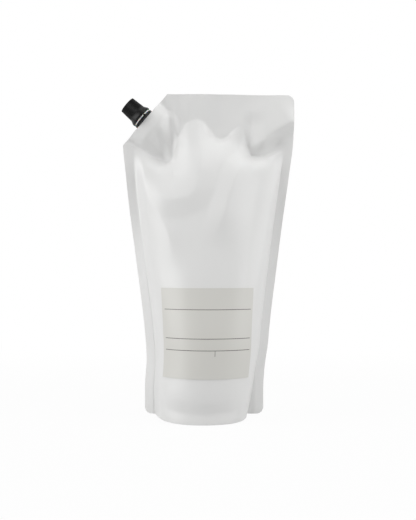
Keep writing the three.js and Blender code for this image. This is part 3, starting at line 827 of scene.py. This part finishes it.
def label_points():
    """Each point of the label: its way along the front from the middle, set square before the film."""
    points = []
    fine = np.linspace(-label_search, label_search, 8 * label_search + 1)
    for j in range(label_rows + 1):
        z = label_bottom + label_height * j / label_rows
        xs = float(middle(z)) + fine
        heights = np.full_like(xs, z)
        ys = front_at(xs, heights)
        way = np.concatenate([[0], np.cumsum(np.hypot(np.diff(xs), np.diff(ys)))])
        way = way - np.interp(0, fine, way)
        across = label_shift + label_width * (np.arange(label_columns + 1) / label_columns - 0.5)
        x = np.interp(across, way, xs)
        heights = np.full_like(x, z)
        y = front_at(x, heights)
        slope_x = front_at(x + slope_step, heights) - front_at(x - slope_step, heights)
        slope_z = front_at(x, heights + slope_step) - front_at(x, heights - slope_step)
        length = np.sqrt(1 + slope_x ** 2 + slope_z ** 2)
        points.append(np.stack([
            x + label_gap * slope_x / length, y - label_gap / length, heights + label_gap * slope_z / length,
        ], axis=1))
    return np.array(points)


label.data.vertices.foreach_set("co", (label_points().reshape(-1, 3) * mm).ravel().astype(np.float32))
label.data.update()
paper = label.modifiers.new("thickness", "SOLIDIFY")
paper.thickness = label_thickness * mm
paper.offset = 0
bpy.ops.object.modifier_apply(modifier=paper.name)
bpy.ops.object.shade_smooth_by_angle(angle=math.radians(40))
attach(label, "pack")
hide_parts("front_label")

# Matt coated paper with the sheen of its coating, printed with three thin dark rules across the label and one
# short upright rule. The rules are set out on the label's own UV, in millimetres from its lower left corner.
label_grey = "#CECDC8"
rule_ink = "#4A4741"
rule_left = 3.4
rule_right = label_width - 2.2
rule_width = 0.5
rule_heights = (57.75, 33.45, 23.65)
upright_left = 50.4
upright_width = 0.35
upright_bottom = 18.9
printed_rules = [(rule_left, rule_right, height, height + rule_width) for height in rule_heights]
printed_rules.append((upright_left, upright_left + upright_width, upright_bottom, rule_heights[-1]))
label_paper, label_shader = new_material(
    "matt_coated_label_paper", label_grey, 0.36, Specular_IOR_Level=0.6,
)
label_grain = add_node(
    label_paper, "ShaderNodeTexNoise", Vector=add_node(label_paper, "ShaderNodeTexCoord").outputs["Object"],
    Scale=1 / (0.25 * mm), Detail=2.0,
)
label_bump = add_node(
    label_paper, "ShaderNodeBump", Height=label_grain.outputs["Fac"], Strength=0.3, Distance=0.008 * mm,
)
label_paper.node_tree.links.new(label_bump.outputs["Normal"], label_shader.inputs["Normal"])
label_uv = add_node(label_paper, "ShaderNodeTexCoord").outputs["UV"]
label_way = add_node(
    label_paper, "ShaderNodeVectorMath", {"operation": "MULTIPLY"},
    i0=label_uv, i1=(label_width, label_height, 0),
)
label_mm = add_node(label_paper, "ShaderNodeSeparateXYZ", Vector=label_way.outputs[0])
ink_share = 0.0
for left_end, right_end, low_end, high_end in printed_rules:
    across = add_node(
        label_paper, "ShaderNodeMath", {"operation": "COMPARE"},
        i0=label_mm.outputs["X"], i1=(left_end + right_end) / 2, i2=(right_end - left_end) / 2,
    )
    upward = add_node(
        label_paper, "ShaderNodeMath", {"operation": "COMPARE"},
        i0=label_mm.outputs["Y"], i1=(low_end + high_end) / 2, i2=(high_end - low_end) / 2,
    )
    one_rule = add_node(
        label_paper, "ShaderNodeMath", {"operation": "MULTIPLY"}, i0=across.outputs[0], i1=upward.outputs[0],
    )
    ink_share = add_node(
        label_paper, "ShaderNodeMath", {"operation": "MAXIMUM"}, i0=ink_share, i1=one_rule.outputs[0],
    ).outputs[0]
label_tint = add_node(
    label_paper, "ShaderNodeMix", {"data_type": "RGBA"},
    i0=ink_share, i6=linear(label_grey), i7=linear(rule_ink),
)
label_paper.node_tree.links.new(label_tint.outputs[2], label_shader.inputs["Base Color"])
label.data.materials.append(label_paper)

# The studio has a pale paper floor that sweeps up behind the pack, two soft boxes at its sides and one above
# it. Its sizes are in metres, and the floor lies just under the foot.
bpy.ops.object.select_all(action="DESELECT")
bpy.ops.mesh.primitive_grid_add(x_subdivisions=2, y_subdivisions=48, size=1)
sweep = bpy.context.object
sweep.name = "floor_sweep"
sweep_half_width = 4.0
sweep_front = -2.0
sweep_back = 1.6
sweep_radius = 0.8
sweep_top = 3.0
floor_gap = 0.0002
flat_run = sweep_back - sweep_radius - sweep_front
arc_run = sweep_radius * math.pi / 2
whole_run = flat_run + arc_run + sweep_top - sweep_radius
for vertex in sweep.data.vertices:
    way = (vertex.co.y + 0.5) * whole_run
    turn = min(max((way - flat_run) / sweep_radius, 0), math.pi / 2)
    y = sweep_front + min(way, flat_run) + sweep_radius * math.sin(turn)
    z = sweep_radius * (1 - math.cos(turn)) + max(0, way - flat_run - arc_run)
    vertex.co = Vector((vertex.co.x * 2 * sweep_half_width, y, z - floor_gap))
sweep.data.update()
bpy.ops.object.shade_smooth()

# White background paper: the camera, and gloss and glass, see it glow plain white, while it takes and gives
# light as a dull pale grey. Near the pack a small share of its own shading stays, which keeps the shadow.
shadow_until = 0.15
plain_white_from = 0.7
glow_share = 0.96
paper_white, sweep_shader = new_material("white_background_paper", "#D4D4D4", 0.9)
shown_rays = add_node(paper_white, "ShaderNodeLightPath").outputs
seen_or_mirrored = add_node(
    paper_white, "ShaderNodeMath", {"operation": "MAXIMUM"},
    i0=shown_rays["Is Camera Ray"], i1=shown_rays["Is Glossy Ray"],
)
seen = add_node(
    paper_white, "ShaderNodeMath", {"operation": "MAXIMUM"},
    i0=seen_or_mirrored.outputs[0], i1=shown_rays["Is Transmission Ray"],
)
sweep_place = add_node(paper_white, "ShaderNodeTexCoord").outputs["Object"]
sweep_way = add_node(paper_white, "ShaderNodeSeparateXYZ", Vector=sweep_place)
shadow_share = add_node(
    paper_white, "ShaderNodeMapRange", {"interpolation_type": "SMOOTHSTEP"},
    Value=sweep_way.outputs["Y"], i1=shadow_until, i2=plain_white_from, i3=glow_share, i4=1.0,
)
seen_share = add_node(
    paper_white, "ShaderNodeMath", {"operation": "MULTIPLY"}, i0=seen.outputs[0], i1=shadow_share.outputs[0],
)
glow = add_node(paper_white, "ShaderNodeEmission", Strength=1.0)
mixed = add_node(
    paper_white, "ShaderNodeMixShader", Fac=seen_share.outputs[0],
    i1=sweep_shader.outputs[0], i2=glow.outputs[0],
)
paper_output = paper_white.node_tree.nodes["Material Output"]
paper_white.node_tree.links.new(mixed.outputs[0], paper_output.inputs["Surface"])
sweep.data.materials.append(paper_white)


def soft_box(name, place, aim, width, height, power):
    lamp = bpy.data.lights.new(name, "AREA")
    lamp.shape = "RECTANGLE"
    lamp.size = width
    lamp.size_y = height
    lamp.energy = power
    box = bpy.data.objects.new(name, lamp)
    bpy.context.scene.collection.objects.link(box)
    box.location = place
    box.rotation_euler = (Vector(aim) - Vector(place)).to_track_quat("-Z", "Y").to_euler()


soft_box("soft_box_left", place=(-1.0, -0.35, 0.45), aim=(0, 0, 0.13), width=0.8, height=1.2, power=7.8)
soft_box("soft_box_right", place=(1.0, -0.35, 0.45), aim=(0, 0, 0.13), width=0.8, height=1.2, power=5.3)
soft_box("soft_box_top", place=(0.3, -0.3, 1.2), aim=(0, 0, 0.12), width=0.8, height=1.3, power=4.4)

# The room's white walls light the pack from all round at half strength, and the camera sees them plain white.
world_light = 0.5
world = bpy.data.worlds.new("studio_room")
bpy.context.scene.world = world
world.use_nodes = True
room_walls = world.node_tree.nodes["Background"]
room_walls.inputs["Color"].default_value = linear("#FFFFFF")
world_shown = add_node(
    world, "ShaderNodeMapRange", Value=add_node(world, "ShaderNodeLightPath").outputs["Is Camera Ray"],
    i1=0.0, i2=1.0, i3=world_light, i4=1.0,
)
world.node_tree.links.new(world_shown.outputs[0], room_walls.inputs["Strength"])

# The camera stands level before the front, at half the pack's height and nearly 0.9 metres away, with a lens
# that gives the photo's frame.
camera_data = bpy.data.cameras.new("camera")
camera_data.sensor_fit = "VERTICAL"
camera_data.sensor_height = 36
camera_data.lens = 70.7
camera = bpy.data.objects.new("camera", camera_data)
bpy.context.scene.collection.objects.link(camera)
camera.location = (0.0035, -0.8906, 0.1383)
camera.rotation_euler = (math.pi / 2, 0, 0)
bpy.context.scene.camera = camera
bpy.context.scene.view_settings.view_transform = "Standard"
